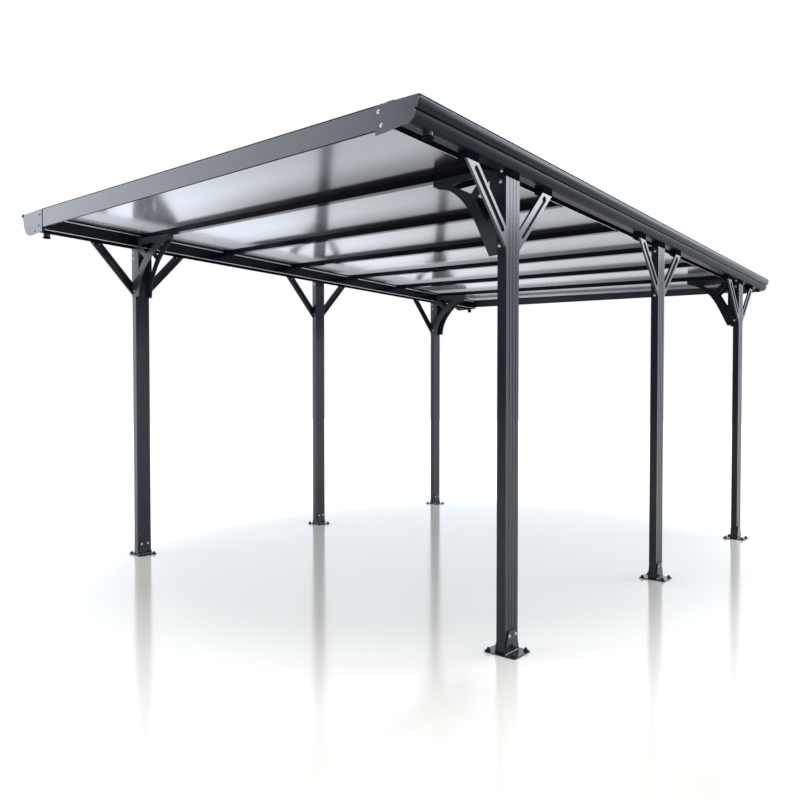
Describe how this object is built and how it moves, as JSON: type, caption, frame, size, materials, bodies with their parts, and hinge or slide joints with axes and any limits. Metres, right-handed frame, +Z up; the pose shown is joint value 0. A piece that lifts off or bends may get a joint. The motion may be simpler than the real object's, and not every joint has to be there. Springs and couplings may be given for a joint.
{
  "type": "carport",
  "caption": "Free-standing carport: a shallow lean-to roof of pale glazing panels between two eave gutters, on slim grooved posts with curved gussets and slotted braces.",
  "frame": {"origin": "middle of the footprint at ground level", "axes": "+Z up, +X towards the low eave, +Y towards the rear gable"},
  "size_m": [3.57, 4.998, 2.4346],
  "materials": {
    "frame": "satin powder coat",
    "glazing": "glossy translucent sheet"
  },
  "bodies": {
    "root": {"post_low_front": "frame", "foot_low_front": "frame", "braces_low_front": "frame", "gusset_low_front": "frame", "post_low_mid": "frame", "foot_low_mid": "frame", "braces_low_mid": "frame", "post_low_rear": "frame", "foot_low_rear": "frame", "braces_low_rear": "frame", "gusset_low_rear": "frame", "gutter_low": "frame", "end_cap_low_front": "frame", "end_cap_low_rear": "frame", "post_high_front": "frame", "foot_high_front": "frame", "braces_high_front": "frame", "gusset_high_front": "frame", "post_high_mid": "frame", "foot_high_mid": "frame", "braces_high_mid": "frame", "post_high_rear": "frame", "foot_high_rear": "frame", "braces_high_rear": "frame", "gusset_high_rear": "frame", "gutter_high": "frame", "end_cap_high_front": "frame", "end_cap_high_rear": "frame", "saddles": "frame", "spouts": "frame", "fascia_front": "frame", "fascia_rear": "frame", "rafter_1": "frame", "rafter_2": "frame", "rafter_3": "frame", "rafter_4": "frame", "rafter_5": "frame", "rafter_6": "frame", "panel_1": "glazing", "panel_2": "glazing", "panel_3": "glazing", "panel_4": "glazing", "panel_5": "glazing", "panel_6": "glazing", "panel_7": "glazing"}
  },
  "joints": []
}
